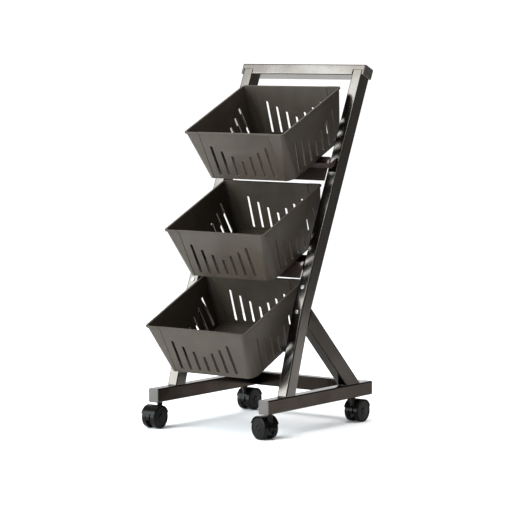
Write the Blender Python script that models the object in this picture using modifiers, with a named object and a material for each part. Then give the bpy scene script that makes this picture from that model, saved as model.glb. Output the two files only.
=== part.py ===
"""Tiered fruit rack: a bent tube frame on twin wheel casters, with three tapered
moulded baskets that sit on sheet channels across the leaning posts."""
import math

import bmesh
import bpy
from mathutils import Matrix, Vector

# Clearances and helpers of the drawing
GAP = 0.0003
OVERRUN = 0.002
MERGE = 0.00001

# Tube of the frame
TUBE_WIDTH = 0.025
TUBE_WALL = 0.0015
TUBE_RADIUS = 0.003
CORNER_STEPS = 3

# Base
POST_SPACING = 0.2915
RAIL_HEIGHT = 0.030
RAIL_LENGTH = 0.378
RAIL_CLEARANCE = 0.055
CROSSBAR_DEPTH = 0.025
CROSSBAR_SETBACK = 0.0055

# Uprights
UPRIGHT_DEPTH = 0.032
LEG_SETBACK = 0.0624
LEG_LENGTH = 0.1871
LEG_LEAN = math.radians(17.2)
POST_LENGTH = 0.5284
POST_LEAN = math.radians(23.8)

# Struts
STRUT_DEPTH = 0.036
STRUT_RISE = 0.011
STRUT_LEAN = math.radians(134.5)

# Top bar, half lapped over the posts
BAR_HEIGHT = 0.024
BAR_OVERHANG = 0.005
BAR_LAP = 0.0117

# Sleeves inside the bends
SLEEVE_DROP = 0.040
SLEEVE_REACH = 0.060

# End plugs
PLUG_LIP = 0.002
PLUG_SPIGOT = 0.012

# Screws
SCREW_HEAD_RADIUS = 0.0046
SCREW_HEAD_HEIGHT = 0.0018
SCREW_RADIUS = 0.0022
SCREW_LENGTH = 0.008
SCREW_STEPS = 8
POST_SCREW_RISE = 0.0478
LEG_SCREW_DROP = 0.0068

# Baskets
BASKET_TILT = math.radians(24.8)
BASKET_WIDTH = 0.258
BASKET_DEPTH = 0.228
BASKET_HEIGHT = 0.1193
BASKET_WALL = 0.0026
SIDE_DRAFT = math.radians(8.3)
FRONT_DRAFT = math.radians(5.0)
BACK_DRAFT = math.radians(6.8)
BASKET_RIM = 0.002
BASKET_CORNER = 0.013
FLOOR_RADIUS = 0.004
FOOT_HEIGHT = 0.005
FOOT_INSET = 0.007
FOOT_WIDTH = 0.0026
STOP_LENGTH = 0.050
STOP_SPACING = 0.120
STOP_WIDTH = 0.004
STOP_DEPTH = 0.008

# Slots, longest at the edges of each wall and shortest in its middle
SLOT_WIDTH = 0.006
SLOT_PITCH = 0.024
SLOT_LIFT = 0.006
SLOT_LENGTHS = (0.038, 0.049, 0.060, 0.072)
SLOT_END_STEPS = 3

# Carriers: where the plane of the basket's feet meets the front of the upright,
# measured up from the bend, and how far the basket's rim reaches in front of it
CARRIER_RISES = {"top": 0.3393, "middle": 0.1026, "lower": -0.1142}
BASKET_REACHES = {"top": 0.1296, "middle": 0.0995, "lower": 0.0877}
LIP_REACH = 0.0996
CARRIER_OVERHANG = 0.0075
CARRIER_DEPTH = 0.030
CARRIER_HEIGHT = 0.0126
CARRIER_SHEET = 0.0015
SHELF_DEPTH = 0.038
SHELF_HALF = 0.104
LOWER_CHANNEL_HALF = 0.088
LOWER_FLANGE = 0.012
APRON_DROPS = {"top": 0.054, "middle": 0.0356}
TAB_DEPTH = 0.024
TAB_TRIM = 0.002

# Casters
WHEEL_RADIUS = 0.024
WHEEL_WIDTH = 0.0115
WHEEL_SPACING = 0.0125
WHEEL_RIM = 0.0035
WHEEL_DISC = 0.0035
WHEEL_DISH = 0.001
WHEEL_HUB = 0.006
WHEEL_DOME = 0.0035
WHEEL_STEPS = 16
HUB_RECESS = 0.0015
AXLE_RADIUS = 0.003
AXLE_HEAD = 0.0042
AXLE_HEAD_WIDTH = 0.001
AXLE_STEPS = 10
CASTER_TRAIL = 0.017
HOOD_SHELL = 0.0018
HOOD_CLEARANCE = 0.0008
HOOD_WEB = 0.008
HOOD_SPREAD = math.radians(74)
HOOD_CHIN = math.radians(100)
HOOD_STEPS = 9
BOSS_RADIUS = 0.0058
COLLAR_RADIUS = 0.006
KINGPIN_RADIUS = 0.0035
KINGPIN_LENGTH = 0.020
SHANK_RADIUS = 0.004
SHANK_LENGTH = 0.014
STEM_STEPS = 12
NUT_RADIUS = 0.0075
NUT_HEIGHT = 0.006
FRONT_CASTER_SETBACK = 0.022
REAR_CASTER_SETBACK = 0.321
CASTER_PLACES = {
    "front_left": (-1, FRONT_CASTER_SETBACK, 0.0),
    "front_right": (1, FRONT_CASTER_SETBACK, math.radians(-106)),
    "rear_left": (-1, REAR_CASTER_SETBACK, math.radians(180)),
    "rear_right": (1, REAR_CASTER_SETBACK, math.radians(180)),
}

# Colours, roughness and metallic value of each finish
FINISHES = {
    "frame_finish": ((0.060, 0.050, 0.045), 0.28, 0.85),
    "plug_plastic": ((0.050, 0.045, 0.042), 0.40, 0.0),
    "basket_plastic": ((0.125, 0.110, 0.100), 0.38, 0.0),
    "caster_plastic": ((0.012, 0.012, 0.013), 0.25, 0.0),
    "zinc_steel": ((0.55, 0.54, 0.52), 0.35, 1.0),
}


def along(angle):
    """Direction that leans back from the vertical by an angle."""
    return Vector((0, math.sin(angle), math.cos(angle)))


def behind(angle):
    """Direction square to a leaning tube, towards the back."""
    return Vector((0, math.cos(angle), -math.sin(angle)))


RAIL_TOP = RAIL_CLEARANCE + RAIL_HEIGHT
RAIL_X = POST_SPACING / 2
INNER_FACE = RAIL_X - TUBE_WIDTH / 2
MITRE = math.tan((POST_LEAN - LEG_LEAN) / 2)
LEG_FOOT = Vector((0, LEG_SETBACK, RAIL_TOP))
BEND = LEG_FOOT + along(LEG_LEAN) * LEG_LENGTH
BAR_EDGE = BEND + along(POST_LEAN) * POST_LENGTH
HOLE_RADIUS = SCREW_RADIUS + GAP
POST_SLANT = math.pi / 2 - POST_LEAN - BASKET_TILT


def upright_point(depth, run):
    """Point in an upright: depth behind the front face, run above the bend."""
    corner = BEND + behind(LEG_LEAN) * depth - along(LEG_LEAN) * (depth * MITRE)
    return corner + along(POST_LEAN if run > 0 else LEG_LEAN) * run


def carrier_seat(tier):
    """Place of a carrier on the front face, and the lean of that face."""
    rise = CARRIER_RISES[tier]
    return upright_point(0, rise), POST_LEAN if rise > 0 else LEG_LEAN


def basket_point(tier, depth, height):
    """Point of a basket's own side view, from below its rim's front line."""
    seat, _ = carrier_seat(tier)
    backward = Vector((0, math.cos(BASKET_TILT), math.sin(BASKET_TILT)))
    upward = Vector((0, -math.sin(BASKET_TILT), math.cos(BASKET_TILT)))
    return seat + backward * (depth - BASKET_REACHES[tier]) + upward * height


def front_reach():
    """Foremost place of the rack, the front rim of the lowest basket."""
    return basket_point("lower", 0, BASKET_HEIGHT).y


class Workshop:
    """Keeps the collections, the materials and the empty that carries the rack."""

    def __init__(self):
        for leftover in list(bpy.data.objects):
            bpy.data.objects.remove(leftover)
        self.parts = self.collection("tiered_fruit_rack")
        self.cutters = self.collection("cutters")
        self.materials = {name: self.finish(name, *look) for name, look in FINISHES.items()}
        self.root = bpy.data.objects.new("rack_origin", None)
        self.root.location.y = -(RAIL_LENGTH + front_reach()) / 2
        self.parts.objects.link(self.root)

    def collection(self, name):
        made = bpy.data.collections.new(name)
        bpy.context.scene.collection.children.link(made)
        return made

    def finish(self, name, colour, roughness, metallic):
        made = bpy.data.materials.new(name)
        made.use_nodes = True
        surface = made.node_tree.nodes["Principled BSDF"]
        surface.inputs["Base Color"].default_value = (*colour, 1)
        surface.inputs["Roughness"].default_value = roughness
        surface.inputs["Metallic"].default_value = metallic
        made.diffuse_color = (*colour, 1)
        return made

    def helper(self, name, data):
        """A working solid, kept with the cutters until it is finished."""
        made = bpy.data.objects.new(name, data)
        made.display_type = "WIRE"
        made.hide_render = True
        self.cutters.objects.link(made)
        return made

    def keep(self, solid, finish, name=None):
        """Moves a finished solid to the parts, under the rack's own empty."""
        solid.name = name or solid.name
        solid.data.name = solid.name
        solid.display_type = "TEXTURED"
        solid.hide_render = False
        self.cutters.objects.unlink(solid)
        self.parts.objects.link(solid)
        solid.parent = self.root
        solid.data.materials.clear()
        solid.data.materials.append(self.materials[finish])
        return solid


def bake(solid):
    """Replaces a solid's mesh by what its modifiers make of it."""
    bpy.context.view_layer.update()
    evaluated = solid.evaluated_get(bpy.context.evaluated_depsgraph_get())
    mesh = bpy.data.meshes.new_from_object(evaluated)
    solid.modifiers.clear()
    solid.data = mesh
    return solid


def combine(solid, operation, *tools):
    """Joins helpers to a solid, or cuts them out of it, and removes them."""
    for tool in tools:
        step = solid.modifiers.new(tool.name, "BOOLEAN")
        step.operation = operation
        step.solver = "EXACT"
        step.object = tool
    bake(solid)
    for tool in tools:
        bpy.data.objects.remove(tool)
    return solid


def arc(centre, radius, start, end, steps):
    """Points along an arc, with both of its ends."""
    angles = [start + (end - start) * step / steps for step in range(steps + 1)]
    return [(centre[0] + radius * math.cos(a), centre[1] + radius * math.sin(a)) for a in angles]


def rounded_rectangle(width, depth, radius, steps=CORNER_STEPS):
    """Outline that is centred in its width and runs from zero to its depth."""
    right, top = width / 2 - radius, depth - radius
    corners = ((right, radius, -90), (right, top, 0), (-right, top, 90), (-right, radius, 180))
    outline = []
    for x, y, turn in corners:
        start = math.radians(turn)
        outline += arc((x, y), radius, start, start + math.pi / 2, steps)
    return outline


def inset_rectangle(width, depth, radius, inset):
    """The same outline, smaller by an inset all round."""
    inner = rounded_rectangle(width - 2 * inset, depth - 2 * inset, max(radius - inset, inset / 2))
    return [(x, y + inset) for x, y in inner]


def extrusion(shop, name, outlines, length):
    """A flat outline, holes included, made solid about its own plane."""
    curve = bpy.data.curves.new(name, "CURVE")
    curve.dimensions = "2D"
    curve.fill_mode = "BOTH"
    curve.extrude = length / 2
    for outline in outlines:
        spline = curve.splines.new("POLY")
        spline.points.add(len(outline) - 1)
        for point, place in zip(spline.points, outline):
            point.co = (*place, 0, 1)
        spline.use_cyclic_u = True
    drawn = shop.helper(name, curve)
    bpy.context.view_layer.update()
    evaluated = drawn.evaluated_get(bpy.context.evaluated_depsgraph_get())
    mesh = bpy.data.meshes.new_from_object(evaluated)
    bpy.data.objects.remove(drawn)
    welded = bmesh.new()
    welded.from_mesh(mesh)
    bmesh.ops.remove_doubles(welded, verts=welded.verts, dist=MERGE)
    welded.to_mesh(mesh)
    welded.free()
    return shop.helper(name, mesh)


def side_prism(shop, name, outlines, width, x=0):
    """An outline drawn in the side view and extruded across the rack."""
    prism = extrusion(shop, name, outlines, width)
    prism.rotation_euler = (math.pi / 2, 0, math.pi / 2)
    prism.location.x = x
    return settle(prism)


def settle(solid):
    """Moves a helper's place and rotation into its mesh."""
    bpy.context.view_layer.update()
    solid.data.transform(solid.matrix_world)
    solid.matrix_world = Matrix.Identity(4)
    return solid


def turned(shop, name, profile, steps, ring=False):
    """A profile of radius and height turned about the vertical, top to bottom."""
    edges = [(i, i + 1) for i in range(len(profile) - 1)]
    if ring:
        edges.append((len(profile) - 1, 0))
    mesh = bpy.data.meshes.new(name)
    mesh.from_pydata([(radius, 0, height) for radius, height in profile], edges, [])
    solid = shop.helper(name, mesh)
    screw = solid.modifiers.new("turn", "SCREW")
    screw.axis = "Z"
    screw.steps = steps
    screw.render_steps = steps
    screw.use_merge_vertices = True
    screw.merge_threshold = MERGE
    bake(solid)
    solid.data.shade_smooth()
    solid.data.set_sharp_from_angle(angle=math.radians(35))
    return solid


def cylinder(shop, name, radius, length, steps, place, direction):
    """A round bar from a place along a direction, for holes and bosses."""
    mesh = bpy.data.meshes.new(name)
    form = bmesh.new()
    bmesh.ops.create_cone(form, cap_ends=True, segments=steps, radius1=radius, radius2=radius, depth=length)
    form.to_mesh(mesh)
    form.free()
    bar = shop.helper(name, mesh)
    bar.rotation_euler = direction.to_track_quat("Z", "Y").to_euler()
    bar.location = place + direction.normalized() * (length / 2)
    return settle(bar)


def box(shop, name, low, high):
    """A box between two corners."""
    mesh = bpy.data.meshes.new(name)
    form = bmesh.new()
    bmesh.ops.create_cube(form, size=1)
    size = Vector(high) - Vector(low)
    bmesh.ops.scale(form, vec=size, verts=form.verts)
    bmesh.ops.translate(form, vec=(Vector(low) + Vector(high)) / 2, verts=form.verts)
    form.to_mesh(mesh)
    form.free()
    return shop.helper(name, mesh)


def square_tube(shop, name, width, depth, length, low_slope=0, high_slope=0):
    """A hollow tube with rounded corners. Its first face lies at zero depth, and each
    end slides along the tube by its slope times the depth, which makes a mitre."""
    tube = extrusion(shop, name, [rounded_rectangle(width, depth, TUBE_RADIUS)], length)
    hollow = inset_rectangle(width, depth, TUBE_RADIUS, TUBE_WALL)
    bore = extrusion(shop, "bore", [hollow], length + 2 * OVERRUN)
    for solid in (tube, bore):
        for vert in solid.data.vertices:
            slope = high_slope if vert.co.z > 0 else low_slope
            vert.co.z += length / 2 + slope * vert.co.y
    return combine(tube, "DIFFERENCE", bore)


def aim(solid, place, depth_axis, length_axis):
    """Puts a tube's start at a place, with its depth and length along two axes."""
    across = depth_axis.cross(length_axis)
    turn = Matrix((across, depth_axis, length_axis)).transposed()
    solid.rotation_euler = turn.to_euler()
    solid.location = place


def base_rails(shop):
    for side, sign in (("left", -1), ("right", 1)):
        length = RAIL_LENGTH - 2 * (PLUG_LIP + GAP)
        rail = square_tube(shop, side + "_base_rail", TUBE_WIDTH, RAIL_HEIGHT, length)
        drills = []
        for corner_sign, y, _ in CASTER_PLACES.values():
            if corner_sign == sign:
                place = Vector((0, RAIL_HEIGHT + OVERRUN, y - PLUG_LIP - GAP))
                drills.append(cylinder(shop, "drill", SHANK_RADIUS + GAP, TUBE_WALL + 2 * OVERRUN, STEM_STEPS,
                                       place, Vector((0, -1, 0))))
        combine(rail, "DIFFERENCE", *drills)
        aim(rail, (sign * RAIL_X, PLUG_LIP + GAP, RAIL_TOP), Vector((0, 0, -1)), Vector((0, 1, 0)))
        shop.keep(rail, "frame_finish")


def rear_crossbar(shop):
    bar = square_tube(shop, "rear_crossbar", RAIL_HEIGHT, CROSSBAR_DEPTH, 2 * (INNER_FACE - GAP))
    front = RAIL_LENGTH - CROSSBAR_SETBACK - CROSSBAR_DEPTH
    place = Vector((GAP - INNER_FACE, front, RAIL_CLEARANCE + RAIL_HEIGHT / 2))
    aim(bar, place, Vector((0, 1, 0)), Vector((1, 0, 0)))
    shop.keep(bar, "frame_finish")


def screw_drill(shop, place, direction, reach):
    """Cutter for a screw hole through whatever lies within the reach."""
    return cylinder(shop, "drill", HOLE_RADIUS, reach + OVERRUN, SCREW_STEPS,
                    place - direction.normalized() * OVERRUN, direction)


def tab_screw_place(tier):
    """Where a carrier's screw goes, in the plane of the rack's middle."""
    if tier != "top":
        return basket_point(tier, LIP_REACH + CARRIER_DEPTH / 2, -CARRIER_HEIGHT / 2)
    seat, lean = carrier_seat(tier)
    fall = CARRIER_HEIGHT / math.sin(math.pi / 2 - lean - BASKET_TILT)
    return seat + behind(lean) * (TAB_DEPTH / 2) - along(lean) * ((fall + TAB_TRIM) / 2)


def tab_drills(shop, sign, on_post, origin, lean):
    """Cutters for the carrier screws in one upright, in the upright's own frame."""
    drills = []
    for tier, rise in CARRIER_RISES.items():
        if (rise > 0) == on_post:
            offset = tab_screw_place(tier) - origin
            place = Vector((-sign * (TUBE_WIDTH / 2 + OVERRUN),
                            offset.dot(behind(lean)), offset.dot(along(lean))))
            drills.append(cylinder(shop, "drill", HOLE_RADIUS, TUBE_WALL + 2 * OVERRUN, SCREW_STEPS,
                                   place, Vector((sign, 0, 0))))
    return drills


def lower_legs(shop):
    for side, sign in (("left", -1), ("right", 1)):
        length = LEG_LENGTH - GAP - GAP / 2
        leg = square_tube(shop, side + "_lower_leg", TUBE_WIDTH, UPRIGHT_DEPTH, length,
                          math.tan(LEG_LEAN), -MITRE)
        origin = LEG_FOOT + along(LEG_LEAN) * GAP
        face = Vector((0, 0, LEG_LENGTH - GAP - LEG_SCREW_DROP))
        drills = tab_drills(shop, sign, False, origin, LEG_LEAN)
        drills.append(screw_drill(shop, face, Vector((0, 1, 0)), TUBE_WALL + OVERRUN))
        combine(leg, "DIFFERENCE", *drills)
        aim(leg, origin + Vector((sign * RAIL_X, 0, 0)), behind(LEG_LEAN), along(LEG_LEAN))
        shop.keep(leg, "frame_finish")


def upper_posts(shop):
    for side, sign in (("left", -1), ("right", 1)):
        length = POST_LENGTH + BAR_LAP - GAP / 2
        post = square_tube(shop, side + "_upper_post", TUBE_WIDTH, UPRIGHT_DEPTH, length, MITRE, 0)
        origin = BEND + along(POST_LEAN) * (GAP / 2)
        drills = tab_drills(shop, sign, True, origin, POST_LEAN)
        face = Vector((0, 0, POST_SCREW_RISE))
        drills.append(screw_drill(shop, face, Vector((0, 1, 0)), TUBE_WALL + OVERRUN))
        combine(post, "DIFFERENCE", *drills)
        aim(post, origin + Vector((sign * RAIL_X, 0, 0)), behind(POST_LEAN), along(POST_LEAN))
        shop.keep(post, "frame_finish")


def chamfer_lengthwise(solid, direction, width):
    """Cuts the long corners of a prism, those that run roughly along a direction."""
    form = bmesh.new()
    form.from_mesh(solid.data)
    bmesh.ops.dissolve_limit(form, angle_limit=math.radians(1), verts=form.verts, edges=form.edges)
    limit = math.cos(math.radians(30))
    long_edges = [edge for edge in form.edges
                  if abs((edge.verts[0].co - edge.verts[1].co).normalized().dot(direction)) > limit]
    bmesh.ops.bevel(form, geom=long_edges, offset=width, segments=1, affect="EDGES")
    form.to_mesh(solid.data)
    form.free()
    return solid


def post_sleeves(shop):
    """Bent inner tubes that carry the posts on the legs."""
    skin = TUBE_WALL + GAP

    def outline(inset, overrun):
        near, far = inset, UPRIGHT_DEPTH - inset
        low, high = -SLEEVE_DROP - overrun, SLEEVE_REACH + overrun
        corners = ((near, low), (near, 0), (near, high), (far, high), (far, 0), (far, low))
        return [tuple(upright_point(depth, run).yz) for depth, run in corners]

    width = TUBE_WIDTH - 2 * skin
    for side, sign in (("left", -1), ("right", 1)):
        x = sign * RAIL_X
        sleeve = side_prism(shop, side + "_post_sleeve", [outline(skin, 0)], width, x)
        hollow = side_prism(shop, "hollow", [outline(skin + TUBE_WALL, OVERRUN)], width - 2 * TUBE_WALL, x)
        reach = skin + TUBE_WALL + OVERRUN
        drills = [screw_drill(shop, upright_point(0, run) + Vector((x, 0, 0)), behind(lean), reach)
                  for run, lean in ((POST_SCREW_RISE, POST_LEAN), (-LEG_SCREW_DROP, LEG_LEAN))]
        chamfer_lengthwise(sleeve, along(POST_LEAN), TUBE_RADIUS - TUBE_WALL)
        combine(sleeve, "DIFFERENCE", hollow, *drills)
        shop.keep(sleeve, "zinc_steel")


def screw_profile():
    waist = SCREW_HEAD_HEIGHT / 2
    return ((0, SCREW_HEAD_HEIGHT), (SCREW_HEAD_RADIUS - waist, SCREW_HEAD_HEIGHT), (SCREW_HEAD_RADIUS, waist),
            (SCREW_HEAD_RADIUS, 0), (SCREW_RADIUS, 0), (SCREW_RADIUS, -SCREW_LENGTH), (0, -SCREW_LENGTH))


def screw(shop, name, place, facing):
    """A pan head screw, seated at a place with its head facing one way."""
    made = turned(shop, name, screw_profile(), SCREW_STEPS)
    made.rotation_euler = facing.to_track_quat("Z", "Y").to_euler()
    made.location = place
    shop.keep(made, "zinc_steel")


def post_screws(shop):
    for side, sign in (("left", -1), ("right", 1)):
        for level, run, lean in (("upper", POST_SCREW_RISE, POST_LEAN), ("lower", -LEG_SCREW_DROP, LEG_LEAN)):
            seat = upright_point(0, run) + Vector((sign * RAIL_X, 0, 0)) - behind(lean) * GAP
            screw(shop, side + "_" + level + "_post_screw", seat, -behind(lean))


def carrier_screws(shop):
    inside = INNER_FACE - GAP - CARRIER_SHEET - GAP
    for tier in CARRIER_RISES:
        for side, sign in (("left", -1), ("right", 1)):
            seat = tab_screw_place(tier) + Vector((sign * inside, 0, 0))
            screw(shop, tier + "_carrier_" + side + "_screw", seat, Vector((-sign, 0, 0)))


def struts(shop):
    """Sloping stays from the back of the bend down to the rails."""
    start = upright_point(UPRIGHT_DEPTH, STRUT_RISE)
    axis, inward = along(STRUT_LEAN), behind(STRUT_LEAN)
    corner = start + inward * STRUT_DEPTH
    normal = behind(LEG_LEAN)
    reach = (upright_point(UPRIGHT_DEPTH, 0) - corner).dot(normal) / axis.dot(normal)
    length = (RAIL_TOP - start.z) / axis.z
    for side, sign in (("left", -1), ("right", 1)):
        strut = square_tube(shop, side + "_strut", TUBE_WIDTH, STRUT_DEPTH, length - 3 * GAP,
                            reach / STRUT_DEPTH, math.tan(STRUT_LEAN))
        aim(strut, start + axis * (GAP + GAP / 2) + Vector((sign * RAIL_X, 0, 0)), inward, axis)
        shop.keep(strut, "frame_finish")


def bar_half_length():
    return RAIL_X + TUBE_WIDTH / 2 + BAR_OVERHANG


def top_bar(shop):
    half = bar_half_length() - PLUG_LIP - GAP
    bar = square_tube(shop, "top_bar", BAR_HEIGHT, UPRIGHT_DEPTH, 2 * half)
    notches = []
    for sign in (-1, 1):
        middle = half + sign * RAIL_X
        reach = TUBE_WIDTH / 2 + GAP
        low = (BAR_HEIGHT / 2 - BAR_LAP - GAP, -OVERRUN, middle - reach)
        high = (BAR_HEIGHT / 2 + OVERRUN, UPRIGHT_DEPTH + OVERRUN, middle + reach)
        notches.append(box(shop, "notch", low, high))
    combine(bar, "DIFFERENCE", *notches)
    place = BAR_EDGE + along(POST_LEAN) * (BAR_HEIGHT / 2) - Vector((half, 0, 0))
    aim(bar, place, behind(POST_LEAN), Vector((1, 0, 0)))
    shop.keep(bar, "frame_finish")


def plug(shop, name, width, depth, spigot_low, spigot_high, place, depth_axis, length_axis):
    """A cap with the tube's own outline and a spigot inside the tube."""
    cap = extrusion(shop, name, [rounded_rectangle(width, depth, TUBE_RADIUS)], PLUG_LIP)
    cap.data.transform(Matrix.Translation((0, 0, -PLUG_LIP / 2)))
    skin = TUBE_WALL + GAP
    outline = rounded_rectangle(spigot_high - spigot_low, depth - 2 * skin, TUBE_RADIUS - TUBE_WALL, steps=1)
    length = PLUG_SPIGOT + PLUG_LIP / 2
    spigot = extrusion(shop, "spigot", [outline], length)
    spigot.location = ((spigot_low + spigot_high) / 2, skin, length / 2 - PLUG_LIP / 2)
    combine(cap, "UNION", settle(spigot))
    aim(cap, place, depth_axis, length_axis)
    shop.keep(cap, "plug_plastic")


def end_plugs(shop):
    reach = TUBE_WIDTH / 2 - TUBE_WALL - GAP
    for side, sign in (("left", -1), ("right", 1)):
        x = sign * RAIL_X
        plug(shop, side + "_rail_front_plug", TUBE_WIDTH, RAIL_HEIGHT, -reach, reach,
             (x, PLUG_LIP, RAIL_TOP), Vector((0, 0, -1)), Vector((0, 1, 0)))
        plug(shop, side + "_rail_rear_plug", TUBE_WIDTH, RAIL_HEIGHT, -reach, reach,
             (x, RAIL_LENGTH - PLUG_LIP, RAIL_TOP), Vector((0, 0, -1)), Vector((0, -1, 0)))
        middle = BAR_EDGE + along(POST_LEAN) * (BAR_HEIGHT / 2)
        low = sign * (BAR_HEIGHT / 2 - TUBE_WALL - GAP)
        high = -sign * (BAR_HEIGHT / 2 - BAR_LAP - 2 * GAP)
        plug(shop, side + "_bar_plug", BAR_HEIGHT, UPRIGHT_DEPTH, min(low, high), max(low, high),
             middle + Vector((sign * (bar_half_length() - PLUG_LIP), 0, 0)),
             behind(POST_LEAN), Vector((-sign, 0, 0)))


def basket_skin(shop, name):
    """Outer skin of the basket: a tapered open box with rounded corners and a rim."""
    wall_height = BASKET_HEIGHT - FOOT_HEIGHT - BASKET_WALL
    top_half = BASKET_WIDTH / 2 - BASKET_RIM
    floor_half = top_half - wall_height * math.tan(SIDE_DRAFT)
    top_ends = (BASKET_RIM, BASKET_DEPTH - BASKET_RIM)
    floor_ends = (BASKET_RIM + wall_height * math.tan(FRONT_DRAFT),
                  BASKET_DEPTH - BASKET_RIM - wall_height * math.tan(BACK_DRAFT))
    form = bmesh.new()
    bmesh.ops.create_cube(form, size=1)
    for vert in form.verts:
        upper, rear = vert.co.z > 0, vert.co.y > 0
        half = top_half if upper else floor_half
        ends = top_ends if upper else floor_ends
        height = FOOT_HEIGHT + (wall_height if upper else 0)
        vert.co = (math.copysign(half, vert.co.x), ends[1 if rear else 0], height)
    roof = max(form.faces, key=lambda face: face.calc_center_median().z)
    bmesh.ops.delete(form, geom=[roof], context="FACES_ONLY")
    corners = [edge for edge in form.edges if abs(edge.verts[0].co.z - edge.verts[1].co.z) > wall_height / 2]
    bmesh.ops.bevel(form, geom=corners, offset=BASKET_CORNER, segments=CORNER_STEPS, profile=0.5,
                    affect="EDGES")
    floor = min(form.faces, key=lambda face: face.calc_center_median().z)
    bmesh.ops.bevel(form, geom=list(floor.edges), offset=FLOOR_RADIUS, segments=2, profile=0.5, affect="EDGES")
    rim = [edge for edge in form.edges if edge.is_boundary]
    grown = bmesh.ops.extrude_edge_only(form, edges=rim)["geom"]
    middle = BASKET_DEPTH / 2
    wider, deeper = (BASKET_WIDTH / 2) / top_half, middle / (middle - BASKET_RIM)
    for vert in (item for item in grown if isinstance(item, bmesh.types.BMVert)):
        vert.co.x *= wider
        vert.co.y = middle + (vert.co.y - middle) * deeper
    bmesh.ops.recalc_face_normals(form, faces=form.faces)
    mesh = bpy.data.meshes.new(name)
    form.to_mesh(mesh)
    form.free()
    skin = shop.helper(name, mesh)
    shell = skin.modifiers.new("wall", "SOLIDIFY")
    shell.thickness = BASKET_WALL
    shell.offset = -1
    shell.use_even_offset = True
    shell.use_quality_normals = True
    return bake(skin), floor_half, floor_ends


def slot_outline(middle, bottom, length):
    """A slot with round ends, upright in the plane of its wall."""
    radius = SLOT_WIDTH / 2
    low = arc((middle, bottom + radius), radius, math.pi, 2 * math.pi, SLOT_END_STEPS)
    high = arc((middle, bottom + length - radius), radius, 0, math.pi, SLOT_END_STEPS)
    return low + high


def slot_row(middle):
    """Seven slots whose upper ends form a wide V."""
    count = len(SLOT_LENGTHS)
    return [slot_outline(middle + place * SLOT_PITCH, FOOT_HEIGHT + SLOT_LIFT, SLOT_LENGTHS[abs(place)])
            for place in range(1 - count, count)]


def slot_cutters(shop, floor_half, floor_ends):
    """Cutters for all four walls, each as thick as its wall and its slope."""
    middle = sum(floor_ends) / 2
    lean = BASKET_HEIGHT * math.tan(SIDE_DRAFT)
    thickness = 2 * (lean + BASKET_WALL + OVERRUN)
    cutters = []
    for sign in (-1, 1):
        cutters.append(side_prism(shop, "side_slots", slot_row(middle), thickness, sign * floor_half))
    for end in floor_ends:
        cutter = extrusion(shop, "end_slots", slot_row(0), thickness)
        cutter.rotation_euler.x = math.pi / 2
        cutter.location.y = end
        cutters.append(settle(cutter))
    return cutters


def basket(shop, tier):
    """Moulded basket, drawn upright from the plane of its feet and then tilted."""
    skin, floor_half, floor_ends = basket_skin(shop, tier + "_basket")
    width = 2 * (floor_half - FOOT_INSET)
    depth = floor_ends[1] - floor_ends[0] - 2 * FOOT_INSET
    outer = rounded_rectangle(width, depth, BASKET_CORNER)
    inner = [(x, y + FOOT_WIDTH) for x, y in
             rounded_rectangle(width - 2 * FOOT_WIDTH, depth - 2 * FOOT_WIDTH, BASKET_CORNER - FOOT_WIDTH)]
    seam = FOOT_HEIGHT + BASKET_WALL / 2
    foot = extrusion(shop, "foot", [outer, inner], seam)
    foot.location = (0, floor_ends[0] + FOOT_INSET, seam / 2)
    settle(foot)
    lip = LIP_REACH + CARRIER_SHEET / math.sin(POST_SLANT) + GAP
    stops = []
    for sign in (-1, 1):
        x = sign * STOP_SPACING / 2
        stops.append(box(shop, "stop", (x - STOP_LENGTH / 2, lip, -STOP_DEPTH),
                         (x + STOP_LENGTH / 2, lip + STOP_WIDTH, seam)))
    combine(skin, "UNION", foot, *stops)
    combine(skin, "DIFFERENCE", *slot_cutters(shop, floor_half, floor_ends))
    skin.rotation_euler.x = BASKET_TILT
    skin.location = basket_point(tier, 0, 0)
    skin.data.shade_smooth()
    skin.data.set_sharp_from_angle(angle=math.radians(35))
    shop.keep(skin, "basket_plastic")


def on_plane(offset, height):
    """Point behind the posts' front plane, in a carrier's own side view."""
    return (height / math.tan(POST_SLANT) + offset / math.sin(POST_SLANT), height)


def beside(run, depth):
    """Point up a post from the carrier's seat and behind its front, in the same view."""
    return (run * math.cos(POST_SLANT) + depth * math.sin(POST_SLANT),
            run * math.sin(POST_SLANT) - depth * math.cos(POST_SLANT))


def shelf(shop, front):
    """Flange folded forward from the top of the lip, under the basket's feet."""
    return box(shop, "shelf", (-SHELF_HALF, front - SHELF_DEPTH, -GAP - CARRIER_SHEET),
               (SHELF_HALF, front + CARRIER_SHEET, -GAP))


def finish_carrier(shop, tier, channel, additions):
    """Joins a carrier's folds, drills its two screw holes and sets it in its place."""
    front = LIP_REACH - BASKET_REACHES[tier]
    combine(channel, "UNION", shelf(shop, front), *additions)
    offset = tab_screw_place(tier) - carrier_seat(tier)[0]
    spot = (offset.y * math.cos(BASKET_TILT) + offset.z * math.sin(BASKET_TILT),
            offset.z * math.cos(BASKET_TILT) - offset.y * math.sin(BASKET_TILT))
    start = INNER_FACE - GAP - CARRIER_SHEET - OVERRUN
    drills = [cylinder(shop, "drill", HOLE_RADIUS, CARRIER_SHEET + 2 * OVERRUN, SCREW_STEPS,
                       Vector((sign * start, *spot)), Vector((sign, 0, 0))) for sign in (-1, 1)]
    combine(channel, "DIFFERENCE", *drills)
    channel.rotation_euler.x = BASKET_TILT
    channel.location = carrier_seat(tier)[0]
    shop.keep(channel, "frame_finish")


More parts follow.
